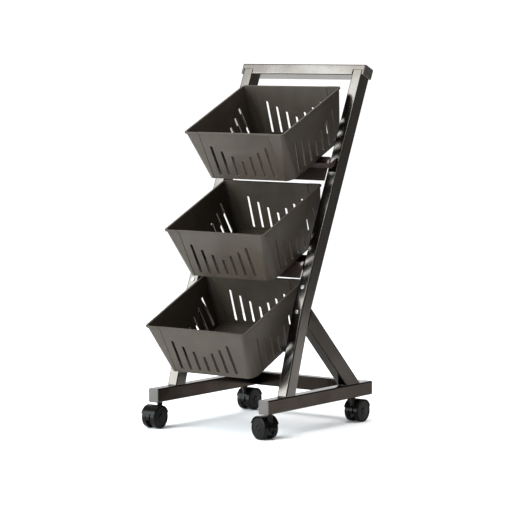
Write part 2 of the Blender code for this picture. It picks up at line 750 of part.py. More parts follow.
def top_carrier(shop):
    """Channel in front of the posts: a lip, a floor, a rear wall that hangs down as an
    apron between the posts, closed ends and tabs along the posts' inner faces."""
    half = RAIL_X + TUBE_WIDTH / 2 - CARRIER_OVERHANG
    sheet, drop = CARRIER_SHEET, APRON_DROPS["top"]
    front, floor = LIP_REACH - BASKET_REACHES["top"], -CARRIER_HEIGHT
    section = [(front, -GAP), (front, floor), on_plane(0, floor), beside(-drop, 0), beside(-drop, sheet),
               on_plane(sheet, -GAP), on_plane(0, -GAP), on_plane(0, floor + sheet),
               (front + sheet, floor + sheet), (front + sheet, -GAP)]
    channel = side_prism(shop, "top_basket_carrier", [section], 2 * half)
    inner = INNER_FACE - GAP
    clear = [beside(-drop - OVERRUN, -GAP), beside(-drop - OVERRUN, TAB_DEPTH),
             on_plane(TAB_DEPTH, OVERRUN), on_plane(-GAP, OVERRUN)]
    end = [(front, floor), on_plane(-2 * GAP, floor), on_plane(-2 * GAP, -GAP), (front, -GAP)]
    foot = -CARRIER_HEIGHT / math.sin(POST_SLANT) - TAB_TRIM
    tab = [beside(foot, sheet / 2), beside(foot, TAB_DEPTH), beside(-TAB_TRIM, TAB_DEPTH),
           beside(-TAB_TRIM, sheet / 2)]
    notches, additions = [], []
    for sign in (-1, 1):
        start = inner - sheet / 2
        reach = half + OVERRUN - start
        notches.append(side_prism(shop, "clear", [clear], reach, sign * (start + reach / 2)))
        additions.append(side_prism(shop, "end", [end], sheet, sign * (half - sheet / 2)))
        additions.append(side_prism(shop, "tab", [tab], sheet, sign * (inner - sheet / 2)))
    combine(channel, "DIFFERENCE", *notches)
    finish_carrier(shop, "top", channel, additions)


def middle_carrier(shop):
    """Channel between the posts, its front wall and its apron one sheet in their plane."""
    half = INNER_FACE - GAP
    sheet, drop = CARRIER_SHEET, APRON_DROPS["middle"]
    floor = -CARRIER_HEIGHT
    rear = LIP_REACH - BASKET_REACHES["middle"] + CARRIER_DEPTH
    section = [on_plane(0, -GAP), beside(-drop, 0), beside(-drop, sheet), on_plane(sheet, floor),
               (rear, floor), (rear, -GAP), (rear - sheet, -GAP), (rear - sheet, floor + sheet),
               on_plane(sheet, floor + sheet), on_plane(sheet, -GAP)]
    channel = side_prism(shop, "middle_basket_carrier", [section], 2 * half)
    end = [on_plane(0, floor), (rear, floor), (rear, -GAP), on_plane(0, -GAP)]
    additions = [side_prism(shop, "end", [end], sheet, sign * (half - sheet / 2)) for sign in (-1, 1)]
    finish_carrier(shop, "middle", channel, additions)


def lower_carrier(shop):
    """Narrow channel in front of a flange, with cheeks on the legs' inner faces."""
    sheet, half = CARRIER_SHEET, LOWER_CHANNEL_HALF
    front, floor = LIP_REACH - BASKET_REACHES["lower"], -CARRIER_HEIGHT
    rear = front + CARRIER_DEPTH
    section = [(front, -GAP), (front, floor), (rear, floor), (rear, -GAP), (rear - sheet, -GAP),
               (rear - sheet, floor + sheet), (front + sheet, floor + sheet), (front + sheet, -GAP)]
    channel = side_prism(shop, "lower_basket_carrier", [section], 2 * half)
    end = [(front, floor), (rear, floor), (rear, -GAP), (front, -GAP)]
    additions = [side_prism(shop, "end", [end], sheet, sign * (half - sheet / 2)) for sign in (-1, 1)]
    inner, back = INNER_FACE - GAP, rear + LOWER_FLANGE
    additions.append(box(shop, "flange", (-inner, rear - sheet, -GAP - sheet), (inner, back, -GAP)))
    cheek = [(front + TAB_TRIM, floor), (back, floor), (back, -GAP), (front + TAB_TRIM, -GAP)]
    additions += [side_prism(shop, "cheek", [cheek], sheet, sign * (inner - sheet / 2)) for sign in (-1, 1)]
    finish_carrier(shop, "lower", channel, additions)


def stem_profile():
    """Kingpin, collar and threaded shank, from the top down."""
    collar_top = RAIL_CLEARANCE - GAP
    collar_foot = hood_top() + GAP
    shank_top = collar_top + SHANK_LENGTH
    return ((0, shank_top), (SHANK_RADIUS, shank_top), (SHANK_RADIUS, collar_top),
            (COLLAR_RADIUS, collar_top), (COLLAR_RADIUS, collar_foot), (KINGPIN_RADIUS, collar_foot),
            (KINGPIN_RADIUS, collar_foot - KINGPIN_LENGTH), (0, collar_foot - KINGPIN_LENGTH))


def hood_radius():
    return WHEEL_RADIUS + HOOD_CLEARANCE + HOOD_SHELL


def hood_top():
    return WHEEL_RADIUS + hood_radius()


def wheel_profile():
    """Ring section as radius and height, the height being the way out along the axle."""
    bore = AXLE_RADIUS + GAP
    rim = WHEEL_RADIUS - WHEEL_RIM
    inner_disc = WHEEL_WIDTH - WHEEL_DISC
    return ((bore, WHEEL_WIDTH - HUB_RECESS), (WHEEL_HUB, WHEEL_WIDTH - HUB_RECESS), (WHEEL_HUB, WHEEL_WIDTH),
            (WHEEL_RADIUS - 2 * WHEEL_DOME, WHEEL_WIDTH),
            (WHEEL_RADIUS - WHEEL_DOME / 2, WHEEL_WIDTH - WHEEL_DOME / 2),
            (WHEEL_RADIUS, WHEEL_WIDTH - WHEEL_DOME), (WHEEL_RADIUS, 0),
            (rim, 0), (rim, inner_disc - WHEEL_DISH),
            (WHEEL_HUB, inner_disc), (WHEEL_HUB, WHEEL_DISH), (bore, WHEEL_DISH))


def axle_profile():
    """Plain pin with a head at each end, turned about its own length."""
    half = WHEEL_SPACING / 2 + WHEEL_WIDTH - HUB_RECESS + GAP
    tip = half + AXLE_HEAD_WIDTH
    return ((0, tip), (AXLE_HEAD, tip), (AXLE_HEAD, half), (AXLE_RADIUS, half),
            (AXLE_RADIUS, -half), (AXLE_HEAD, -half), (AXLE_HEAD, -tip), (0, -tip))


def hood(shop, name):
    """Swivelling body: a web between the wheels, a curved shell over them and a boss."""
    hub = (0, 0)
    outer = hood_radius()
    up = math.pi / 2
    shell = arc(hub, outer, up - HOOD_SPREAD, up + HOOD_SPREAD, HOOD_STEPS)
    shell += reversed(arc(hub, outer - HOOD_SHELL, up - HOOD_SPREAD, up + HOOD_SPREAD, HOOD_STEPS))
    web = arc(hub, outer - HOOD_SHELL / 2, up - HOOD_CHIN, up + HOOD_CHIN, HOOD_STEPS)
    web.append((0, -(WHEEL_HUB + GAP)))
    body = side_prism(shop, name, [shell], WHEEL_SPACING + 2 * WHEEL_WIDTH)
    drop = outer - CASTER_TRAIL / 2
    boss = cylinder(shop, "boss", BOSS_RADIUS, drop, STEM_STEPS, Vector((0, CASTER_TRAIL, outer - drop)),
                    Vector((0, 0, 1)))
    combine(body, "UNION", side_prism(shop, "web", [web], HOOD_WEB), boss)
    bore = cylinder(shop, "bore", KINGPIN_RADIUS + GAP, KINGPIN_LENGTH + OVERRUN, STEM_STEPS,
                    Vector((0, CASTER_TRAIL, outer + OVERRUN)), Vector((0, 0, -1)))
    cross = cylinder(shop, "cross", AXLE_RADIUS + GAP, HOOD_WEB + 2 * OVERRUN, AXLE_STEPS,
                     Vector((-HOOD_WEB / 2 - OVERRUN, 0, 0)), Vector((1, 0, 0)))
    combine(body, "DIFFERENCE", bore, cross)
    body.data.transform(Matrix.Translation((0, -CASTER_TRAIL, WHEEL_RADIUS)))
    body.data.shade_smooth()
    body.data.set_sharp_from_angle(angle=math.radians(35))
    return body


def casters(shop):
    """Four swivelling twin wheel casters, each drawn with its stem axis at its origin."""
    for corner, (sign, y, turn) in CASTER_PLACES.items():
        place = Vector((sign * RAIL_X, y, 0))
        stem = turned(shop, corner + "_caster_stem", stem_profile(), STEM_STEPS)
        stem.location = place
        shop.keep(stem, "zinc_steel")
        swivel = bpy.data.objects.new(corner + "_swivel", None)
        shop.parts.objects.link(swivel)
        swivel.parent = shop.root
        swivel.location = place
        swivel.rotation_euler.z = turn
        body = shop.keep(hood(shop, corner + "_caster_hood"), "caster_plastic")
        axle = shop.keep(turned(shop, corner + "_caster_axle", axle_profile(), AXLE_STEPS), "zinc_steel")
        hub = Vector((0, -CASTER_TRAIL, WHEEL_RADIUS))
        axle.rotation_euler.y = math.pi / 2
        axle.location = hub
        body.parent = axle.parent = swivel
        for side, way in (("left", -1), ("right", 1)):
            name = corner + "_caster_" + side + "_wheel"
            wheel = shop.keep(turned(shop, name, wheel_profile(), WHEEL_STEPS, ring=True), "caster_plastic")
            wheel.rotation_euler.y = way * math.pi / 2
            wheel.location = hub + Vector((way * WHEEL_SPACING / 2, 0, 0))
            wheel.parent = swivel


def caster_nuts(shop):
    """Hexagon nuts inside the rails, one over each caster's shank."""
    up = Vector((0, 0, 1))
    for corner, (sign, y, _) in CASTER_PLACES.items():
        place = Vector((sign * RAIL_X, y, RAIL_CLEARANCE + TUBE_WALL + GAP))
        nut = cylinder(shop, corner + "_caster_nut", NUT_RADIUS, NUT_HEIGHT, 6, place, up)
        bore = cylinder(shop, "bore", SHANK_RADIUS + GAP, NUT_HEIGHT + 2 * OVERRUN, STEM_STEPS,
                        place - up * OVERRUN, up)
        shop.keep(combine(nut, "DIFFERENCE", bore), "zinc_steel")


def build():
    shop = Workshop()
    base_rails(shop)
    rear_crossbar(shop)
    lower_legs(shop)
    upper_posts(shop)
    post_sleeves(shop)
    post_screws(shop)
    struts(shop)
    top_bar(shop)
    end_plugs(shop)
    top_carrier(shop)
    middle_carrier(shop)
    lower_carrier(shop)
    for tier in CARRIER_RISES:
        basket(shop, tier)
    carrier_screws(shop)
    casters(shop)
    caster_nuts(shop)


build()
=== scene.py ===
"""Tiered fruit rack: the looks of its frame, baskets and casters, and the studio."""
import math

import bpy
from mathutils import Matrix, Vector


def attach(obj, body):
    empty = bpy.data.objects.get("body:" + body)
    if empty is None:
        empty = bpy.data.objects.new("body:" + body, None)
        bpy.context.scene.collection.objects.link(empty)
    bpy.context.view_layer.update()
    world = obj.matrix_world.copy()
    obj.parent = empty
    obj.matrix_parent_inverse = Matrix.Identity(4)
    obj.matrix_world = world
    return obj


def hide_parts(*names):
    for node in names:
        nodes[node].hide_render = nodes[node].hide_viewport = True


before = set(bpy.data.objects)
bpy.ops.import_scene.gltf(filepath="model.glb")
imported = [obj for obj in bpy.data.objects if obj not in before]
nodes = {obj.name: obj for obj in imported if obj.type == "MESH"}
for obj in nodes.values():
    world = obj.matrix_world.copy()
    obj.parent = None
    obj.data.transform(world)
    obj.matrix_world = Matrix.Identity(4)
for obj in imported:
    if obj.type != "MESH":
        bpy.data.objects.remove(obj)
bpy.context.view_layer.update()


# Uprights, struts and rails.
# Cold rolled steel tube with 3 mm corners, sawn, welded and dip coated in a glossy
# brown-black. The lower legs, struts and rails are one weldment, and the posts are
# pushed onto sleeves at the bend.
tube_width, tube_corner = 0.025, 0.003
post_depth, strut_depth, rail_depth = 0.032, 0.036, 0.030
leg_length, post_length, strut_length, rail_length = 0.1871, 0.5401, 0.262, 0.3734
frame_front, rail_start, leg_start, crossbar_start = -0.166152, 0.0023, 0.0624, 0.3475
post_spacing, rail_top = 0.2915, 0.085
leg_lean = math.radians(17.2)
post_lean = math.radians(23.8)
strut_lean = math.radians(134.5)
strut_rise, seam = 0.011, 0.0003
inside = (post_spacing - tube_width) / 2 - seam


def hold(piece):
    """Selects one piece alone for the next step."""
    bpy.ops.object.select_all(action="DESELECT")
    bpy.context.view_layer.objects.active = piece
    piece.select_set(True)


def pick(piece, kind, test):
    """Opens a piece with the vertices, edges or faces chosen that pass a test."""
    hold(piece)
    mesh = piece.data
    for items in (mesh.vertices, mesh.edges, mesh.polygons):
        items.foreach_set("select", [False] * len(items))
    chosen = {"VERT": mesh.vertices, "EDGE": mesh.edges, "FACE": mesh.polygons}[kind]
    for item in chosen:
        item.select = test(item)
    bpy.context.tool_settings.mesh_select_mode = (kind == "VERT", kind == "EDGE", kind == "FACE")
    bpy.ops.object.mode_set(mode="EDIT")


def close():
    """Closes the piece that pick opened."""
    bpy.ops.object.mode_set(mode="OBJECT")


def settle(piece):
    """Moves the piece's place and turn into its mesh."""
    hold(piece)
    bpy.ops.object.transform_apply(location=True, rotation=True, scale=True)
    return piece


def block(name, low, high):
    """A rough block between two corners, to be worked on."""
    low, high = Vector(low), Vector(high)
    bpy.ops.mesh.primitive_cube_add(size=1, location=(low + high) / 2)
    piece = bpy.context.object
    piece.name = name
    piece.scale = high - low
    return settle(piece)


def apply_step(piece, kind, **settings):
    """Adds one modifier with its settings and applies it at once."""
    hold(piece)
    step = piece.modifiers.new("step", kind)
    for setting, value in settings.items():
        setattr(step, setting, value)
    bpy.ops.object.modifier_apply(modifier=step.name)
    return piece


def shade(piece, angle=35):
    """Shades round forms smoothly and keeps the large flat faces flat."""
    bpy.ops.object.shade_smooth_by_angle(angle=math.radians(angle))
    return apply_step(piece, "WEIGHTED_NORMAL", keep_sharp=True, weight=90)


def copy_of(piece, name):
    """The same form again, with a mesh of its own."""
    hold(piece)
    bpy.ops.object.duplicate(linked=False)
    again = bpy.context.object
    again.name = name
    return again


def climb(piece, edge):
    """Height between an edge's two ends."""
    first, second = (piece.data.vertices[number].co.z for number in edge.vertices)
    return abs(first - second)


def tube_blank(name, width, depth, length, spare=0.0):
    """Upright tube with its front face at zero, and spare length at both ends to saw off."""
    piece = block(name, (-width / 2, 0, -spare), (width / 2, depth, length + spare))
    pick(piece, "EDGE", lambda edge: climb(piece, edge) > length / 2)
    bpy.ops.mesh.bevel(offset=tube_corner, segments=5, affect="EDGES")
    close()
    return piece


def saw(piece, place, direction):
    """Saws off what lies beyond a place in a direction, and closes the cut."""
    pick(piece, "VERT", lambda vertex: True)
    bpy.ops.mesh.bisect(plane_co=place, plane_no=direction, use_fill=True, clear_outer=True)
    close()


def dress_ends(piece):
    """Takes the burr off the sawn ends and shades the corners round."""
    pick(piece, "FACE", lambda face: len(face.vertices) > 12)
    bpy.ops.mesh.region_to_loop()
    bpy.ops.mesh.bevel(offset=0.0004, segments=2, affect="EDGES")
    close()
    return shade(piece)


def stand(piece, lean, foot):
    """Leans a left tube back and stands it at its foot."""
    piece.rotation_euler.x = -lean
    piece.location = foot - Vector((post_spacing / 2, 0, 0))
    settle(piece)


def along(lean):
    """Direction that leans back from the vertical."""
    return Vector((0, math.sin(lean), math.cos(lean)))


def behind(lean):
    """Direction square to a leaning tube, to the back."""
    return Vector((0, math.cos(lean), -math.sin(lean)))


class Flow:
    """One value on its way through a material's nodes, written like plain sums."""

    def __init__(self, tree, socket=None):
        self.tree = tree
        self.socket = socket

    def wired(self, kind, settings, values, output=0):
        made = self.tree.nodes.new("ShaderNode" + kind)
        for setting, value in settings.items():
            setattr(made, setting, value)
        for key, value in values.items():
            self.feed(made.inputs[key], value)
        return Flow(self.tree, made.outputs[output])

    def feed(self, entry, value):
        if isinstance(value, Flow):
            self.tree.links.new(value.socket, entry)
        else:
            entry.default_value = value

    def sum(self, operation, *parts):
        values = dict(enumerate(parts))
        return self.wired("Math", {"operation": operation}, values)

    def __add__(self, other):
        return self.sum("ADD", self, other)

    __radd__ = __add__

    def __mul__(self, other):
        return self.sum("MULTIPLY", self, other)

    __rmul__ = __mul__

    def between(self, low, high):
        """Rises from zero to one between two values, with soft ends."""
        settings = {"interpolation_type": "SMOOTHSTEP"}
        return self.wired("MapRange", settings, {"Value": self, "From Min": low, "From Max": high})

    def mix(self, first, second):
        """Goes from one colour to another with this value."""
        colours = {0: self, 6: first, 7: second}
        return self.wired("Mix", {"data_type": "RGBA"}, colours, 2)

    def moved(self, turn=(0, 0, 0), stretch=(1, 1, 1)):
        return self.wired("Mapping", {}, {"Vector": self, "Rotation": turn, "Scale": stretch})

    def noise(self, scale, detail=2.0, rough=0.5):
        values = {"Vector": self, "Scale": scale, "Detail": detail, "Roughness": rough}
        return self.wired("TexNoise", {}, values)

    def axis(self, number):
        return self.wired("SeparateXYZ", {}, {"Vector": self}, number)


def new_finish(name, colour, metallic, rough):
    """A material with its surface node, its tree and the object's own coordinates."""
    made = bpy.data.materials.new(name)
    made.use_nodes = True
    surface = made.node_tree.nodes["Principled BSDF"]
    surface.inputs["Base Color"].default_value = (*colour, 1)
    surface.inputs["Metallic"].default_value = metallic
    surface.inputs["Roughness"].default_value = rough
    flow = Flow(made.node_tree)
    return made, surface, flow.wired("TexCoord", {}, {}, 3)


def coated_steel(name, turn, light=(0.094, 0.085, 0.076), dark=(0.075, 0.064, 0.055)):
    """Glossy brown-black coat, with the tube's draw marks and orange peel under it."""
    made, surface, place = new_finish(name, light, 1.0, 0.16)
    drawn = place.moved(turn=turn, stretch=(1, 1, 0.04))
    marks = drawn.noise(900, 3)
    cloud = place.noise(14, 3)
    peel = place.noise(620, 1)
    scuff = drawn.noise(160, 4, 0.65).between(0.60, 0.74)
    dust = place.noise(2600, 1).between(0.66, 0.72)
    tone = cloud.between(0.3, 0.7).mix((*light, 1), (*dark, 1))
    tone = (dust * 0.08).mix(tone, (0.24, 0.21, 0.18, 1))
    place.feed(surface.inputs["Base Color"], tone)
    rough = 0.17 + cloud.between(0.25, 0.75) * 0.05 + scuff * 0.10 + marks * 0.03
    place.feed(surface.inputs["Roughness"], rough)
    height = peel * 0.3 + marks * 0.25 + cloud * 1.0
    bump = place.wired("Bump", {}, {"Strength": 0.06, "Distance": 0.0004, "Height": height})
    place.feed(surface.inputs["Normal"], bump)
    surface.inputs["Coat Weight"].default_value = 0.08
    surface.inputs["Coat Roughness"].default_value = 0.06
    return made


def dress(piece, material, body, slot, *stands_for):
    """Gives a piece its material and its body, and hides the nodes it stands for. The slot is not used."""
    piece.data.materials.clear()
    piece.data.materials.append(material)
    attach(piece, body)
    if stands_for:
        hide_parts(*stands_for)
    return piece


up_leg, up_post, down_strut = along(leg_lean), along(post_lean), along(strut_lean)
leg_back, post_back = behind(leg_lean), behind(post_lean)
leg_foot = Vector((0, frame_front + leg_start, rail_top))
bend = leg_foot + up_leg * leg_length
bend_back = bend + leg_back * post_depth
joint_line = along((leg_lean + post_lean) / 2)
strut_start = bend_back - up_leg * (post_depth * math.tan((post_lean - leg_lean) / 2))
strut_start += up_post * strut_rise
strut_rest = strut_start + behind(strut_lean) * strut_depth
strut_rest += down_strut * ((bend_back - strut_rest).dot(leg_back) / down_strut.dot(leg_back))
strut_slope = strut_rest - strut_start
strut_face = Vector((0, strut_slope.z, -strut_slope.y)).normalized()
strut_face *= math.copysign(1, strut_face.dot(down_strut))

leg_steel = coated_steel("coated_steel_leg", (leg_lean, 0, 0))
post_steel = coated_steel("coated_steel_post", (post_lean, 0, 0))
# Painted shade: the struts and rails have the same coat as the legs and posts, painted darker for the shade
# and dark reflections on the lower frame.
strut_steel_painted_shade = coated_steel("coated_steel_strut_painted_shade", (strut_lean, 0, 0),
                           (0.036, 0.029, 0.023), (0.026, 0.020, 0.015))
rail_steel_painted_shade = coated_steel("coated_steel_rail_painted_shade", (math.pi / 2, 0, 0),
                          (0.030, 0.021, 0.015), (0.020, 0.013, 0.009))
cross_steel = coated_steel("coated_steel_crosswise", (0, math.pi / 2, 0))
# Painted shade: the crossbar has the same coat as the top bar, painted much darker to stand for the dark
# reflection under the rack.
crossbar_steel_painted_shade = coated_steel("coated_steel_crossbar_painted_shade", (0, math.pi / 2, 0),
                               (0.017, 0.012, 0.009), (0.011, 0.008, 0.006))

leg = tube_blank("left_lower_leg_tube", tube_width, post_depth, leg_length, 0.02)
stand(leg, leg_lean, leg_foot)
saw(leg, leg_foot + Vector((0, 0, seam)), (0, 0, -1))
saw(leg, bend - joint_line * (seam / 2), joint_line)
dress_ends(leg)

post = tube_blank("left_upper_post_tube", tube_width, post_depth, post_length, 0.02)
stand(post, post_lean, bend)
saw(post, bend + joint_line * (seam / 2), -joint_line)
saw(post, bend + up_post * post_length, up_post)
dress_ends(post)

strut = tube_blank("left_strut_tube", tube_width, strut_depth, strut_length, 0.05)
stand(strut, strut_lean, strut_start)
saw(strut, strut_start + strut_face * (2 * seam), -strut_face)
saw(strut, (0, 0, rail_top + seam), (0, 0, -1))
dress_ends(strut)

rail = tube_blank("left_base_rail_tube", tube_width, rail_depth, rail_length)
stand(rail, math.pi / 2, Vector((0, frame_front + rail_start, rail_top)))
dress_ends(rail)

for tube, material, node in ((leg, leg_steel, "lower_leg"), (post, post_steel, "upper_post"),
                             (strut, strut_steel_painted_shade, "strut"), (rail, rail_steel_painted_shade, "base_rail")):
    twin = copy_of(tube, "right_" + node + "_tube")
    twin.location.x = post_spacing
    settle(twin)
    dress(tube, material, "rack", "frame_finish", "left_" + node)
    dress(twin, material, "rack", "frame_finish", "right_" + node)

crossbar = tube_blank("rear_crossbar_tube", rail_depth, tube_width, 2 * inside)
crossbar.rotation_euler.y = math.pi / 2
crossbar.location = (-inside, frame_front + crossbar_start, rail_top - rail_depth / 2)
settle(crossbar)
dress_ends(crossbar)
dress(crossbar, crossbar_steel_painted_shade, "rack", "frame_finish", "rear_crossbar")


# Weld beads.
# Short runs of weld where the legs and struts stand on the rails and where the struts
# meet the uprights, coated with the tubes. Each is a low, rippled bead.
def round_blank(name, sides, radius, length, place=(0, 0, 0), turn=(0, 0, 0), ends="NGON"):
    """A cylinder about its own middle, upright unless it is turned."""
    bpy.ops.mesh.primitive_cylinder_add(vertices=sides, radius=radius, depth=length, end_fill_type=ends,
                                        location=place, rotation=turn)
    piece = bpy.context.object
    piece.name = name
    return settle(piece)


def bead(name, place):
    """A bead across the tube, lying in the corner at its place."""
    bead_length, taper_half = 0.0185, 0.0096
    piece = round_blank(name, 14, 0.0015, bead_length)
    pick(piece, "EDGE", lambda edge: climb(piece, edge) > bead_length / 2)
    bpy.ops.mesh.subdivide(number_cuts=35)
    close()
    for vertex in piece.data.vertices:
        ripple = 1 + 0.16 * math.sin(vertex.co.z * 2200)
        taper = min(1.0, math.sqrt(max(0.0, 1 - (abs(vertex.co.z) / taper_half) ** 6)) + 0.12)
        vertex.co.x *= ripple * taper
        vertex.co.y *= ripple * taper
    piece.rotation_euler.y = math.pi / 2
    piece.location = place
    settle(piece)
    bpy.ops.object.shade_smooth_by_angle(angle=math.radians(60))
    return piece


strut_foot = strut_start + down_strut * ((rail_top - strut_start.z) / down_strut.z)
strut_heel = strut_rest + down_strut * ((rail_top - strut_rest.z) / down_strut.z)
leg_heel = leg_foot + Vector((0, post_depth / math.cos(leg_lean), 0))
bead_places = {"leg_front": leg_foot, "leg_back": leg_heel, "strut_front": strut_heel,
               "strut_back": strut_foot, "strut_top": strut_start, "strut_under": strut_rest}
for spot, place in bead_places.items():
    for side, way in (("left", -1), ("right", 1)):
        run = bead(side + "_" + spot + "_weld", place + Vector((way * post_spacing / 2, 0, 0.0004)))
        dress(run, cross_steel, "rack", "frame_finish")


# Top bar.
# The same tube laid across the posts, notched from below so that the posts' ends stand
# in it, and welded there.
def cut(piece, tool, operation="DIFFERENCE"):
    """Cuts a tool out of a piece, or joins it on, and clears the tool away."""
    apply_step(piece, "BOOLEAN", object=tool, operation=operation, solver="EXACT")
    bpy.data.objects.remove(tool)


bar_width, bar_half, bar_seat = 0.024, 0.16095, 0.5284
notch_half, notch_depth = 0.0127, 0.014
bar_middle = bend + up_post * (bar_seat + bar_width / 2)
bar = tube_blank("top_bar_tube", bar_width, post_depth, 2 * bar_half)
dress_ends(bar)
for way in (-1, 1):
    middle = bar_half + way * post_spacing / 2
    cut(bar, block("notch", (0, -0.002, middle - notch_half), (notch_depth, 0.034, middle + notch_half)))
bar_turn = Matrix.Rotation(-post_lean, 4, "X") @ Matrix.Rotation(math.pi / 2, 4, "Y")
bar.matrix_world = Matrix.Translation(bar_middle - Vector((bar_half, 0, 0))) @ bar_turn
shade(settle(bar))
dress(bar, cross_steel, "rack", "frame_finish", "top_bar")


# End plugs.
# Moulded caps pushed into the open ends of the rails and of the bar. Each has the tube's
# outline and a soft outer edge.
def moulded_cap(name, colour, rough):
    """Satin plastic for the caps, with a fine spark eroded grain."""
    made, surface, place = new_finish(name, colour, 0.0, rough)
    cloud = place.noise(60, 2)
    grain = place.noise(3800, 2)
    tone = cloud.between(0.3, 0.7).mix((*colour, 1), (*(c * 0.86 for c in colour), 1))
    place.feed(surface.inputs["Base Color"], tone)
    place.feed(surface.inputs["Roughness"], rough - 0.05 + grain * 0.10)
    bump = place.wired("Bump", {}, {"Strength": 0.12, "Distance": 0.0002, "Height": grain})
    place.feed(surface.inputs["Normal"], bump)
    return made


def cap(name, width, depth):
    """A cap that lies on the ground with its outer face up."""
    cap_thickness, cap_round = 0.002, 0.0008
    piece = tube_blank(name, width, depth, cap_thickness)
    pick(piece, "FACE", lambda face: face.normal.z > 0.9)
    bpy.ops.mesh.bevel(offset=cap_round, segments=4, affect="EDGES")
    close()
    return shade(piece)


plug_plastic = moulded_cap("plug_plastic_satin", (0.050, 0.042, 0.036), 0.34)
rail_cap = cap("left_rail_front_cap", tube_width, rail_depth)
rail_ends = (("front", rail_start - seam, math.pi / 2, rail_top - rail_depth),
             ("rear", rail_start + rail_length + seam, -math.pi / 2, rail_top))
for side, way in (("left", -1), ("right", 1)):
    for end, y, turn, z in rail_ends:
        plug = copy_of(rail_cap, side + "_rail_" + end + "_cap")
        plug.rotation_euler.x = turn
        plug.location = (way * post_spacing / 2, frame_front + y, z)
        dress(settle(plug), plug_plastic, "rack", "plug_plastic", side + "_rail_" + end + "_plug")
    plug = cap(side + "_bar_cap", bar_width, post_depth)
    turn = Matrix.Rotation(-post_lean, 4, "X") @ Matrix.Rotation(way * math.pi / 2, 4, "Y")
    plug.matrix_world = Matrix.Translation(bar_middle + Vector((way * (bar_half + seam), 0, 0))) @ turn
    dress(settle(plug), plug_plastic, "rack", "plug_plastic", side + "_bar_plug")
bpy.data.objects.remove(rail_cap)


# Screws.
# Zinc plated pan head screws with a cross recess: two in front of each bend, through
# tube and sleeve, and one through each carrier's cheek into the upright.
def zinc(name, colour=(0.42, 0.40, 0.37)):
    """Zinc plate with a fine mottle and darker stains."""
    made, surface, place = new_finish(name, colour, 1.0, 0.32)
    mottle = place.noise(700, 4, 0.6)
    stain = place.noise(110, 3).between(0.45, 0.75)
    tone = stain.mix((*colour, 1), (*(c * 0.62 for c in colour), 1))
    place.feed(surface.inputs["Base Color"], tone)
    place.feed(surface.inputs["Roughness"], 0.24 + mottle * 0.22)
    bump = place.wired("Bump", {}, {"Strength": 0.2, "Distance": 0.0002, "Height": mottle})
    place.feed(surface.inputs["Normal"], bump)
    return made


head_radius, head_height, head_round = 0.0046, 0.0018, 0.0011
shank_length, recess_half, recess_depth = 0.008, 0.0024, 0.0011
pan_head = round_blank("pan_head_screw", 32, head_radius, head_height, (0, 0, head_height / 2))
pick(pan_head, "FACE", lambda face: face.normal.z < -0.9)
bpy.ops.mesh.inset(thickness=0.0024)
bpy.ops.mesh.extrude_region_move(TRANSFORM_OT_translate={"value": (0, 0, -shank_length)})
close()
pick(pan_head, "EDGE", lambda edge: min(pan_head.data.vertices[v].co.z for v in edge.vertices) > 0.0017)
bpy.ops.mesh.bevel(offset=head_round, segments=5, affect="EDGES")
close()
for turn in (0.0, math.pi / 2):
    blade = block("cross_recess", (-recess_half, -0.0004, head_height - recess_depth),
                  (recess_half, 0.0004, 0.003))
    blade.rotation_euler.z = turn
    cut(pan_head, settle(blade))
hold(pan_head)
bpy.ops.object.shade_smooth_by_angle(angle=math.radians(40))

zinc_plate = zinc("zinc_plate_dull")
seat_lip, seat_floor, half_sheet, tab_top = 0.0996, -0.0126, 0.00075, 0.002
tilt = math.radians(24.8)
slant = math.pi / 2 - post_lean - tilt
seats = {"top": bend + up_post * 0.3393, "middle": bend + up_post * 0.1026, "lower": bend - up_leg * 0.1142}
reaches = {"top": 0.1296, "middle": 0.0995, "lower": 0.0877}


def basket_point(tier, depth, height):
    """Point in a basket's own side view, from below its rim's front line."""
    backward = Vector((0, math.cos(tilt), math.sin(tilt)))
    upward = Vector((0, -math.sin(tilt), math.cos(tilt)))
    return seats[tier] + backward * (depth - reaches[tier]) + upward * height


tab_drop = -seat_floor / math.sin(slant) + tab_top
carrier_spots = {"top": seats["top"] + post_back * 0.012 - up_post * (tab_drop / 2)}
for tier in ("middle", "lower"):
    carrier_spots[tier] = basket_point(tier, seat_lip + 0.015, seat_floor / 2)
screw_places = {}
for side, way in (("left", -1), ("right", 1)):
    over = Vector((way * post_spacing / 2, 0, 0))
    for half, up, back, run in (("upper", up_post, post_back, 0.0478), ("lower", up_leg, leg_back, -0.0068)):
        screw_places[side + "_" + half + "_post_screw"] = (bend + up * run - back * seam + over, -back)
    for tier, spot in carrier_spots.items():
        inward = Vector((-way, 0, 0))
        place = spot - inward * (inside - 2 * half_sheet - seam)
        screw_places[tier + "_carrier_" + side + "_screw"] = (place, inward)
for node, (place, facing) in screw_places.items():
    screw = copy_of(pan_head, node + "_pan_head")
    screw.matrix_world = Matrix.Translation(place) @ facing.to_track_quat("Z", "Y").to_matrix().to_4x4()
    dress(settle(screw), zinc_plate, "rack", "zinc_steel", node)
bpy.data.objects.remove(pan_head)


# Basket carriers.
# Channels folded from 1.5 mm steel sheet across the uprights and coated with the frame.
# The baskets' feet rest on a flange before the lip, and the upper two channels hang down
# between the posts as an apron.
sheet_bend = 0.0016
sheet_top = -seam
shelf_z = sheet_top - half_sheet
fold_z = seat_floor + half_sheet
shelf_half, shelf_depth = 0.104, 0.038
front = {tier: seat_lip - reaches[tier] for tier in seats}


def soften(piece, width, steps=2, angle=35):
    """Rounds the edges between faces that meet at more than an angle."""
    apply_step(piece, "BEVEL", width=width, segments=steps, limit_method="ANGLE",
               angle_limit=math.radians(angle), use_clamp_overlap=True)
    return shade(piece, angle)


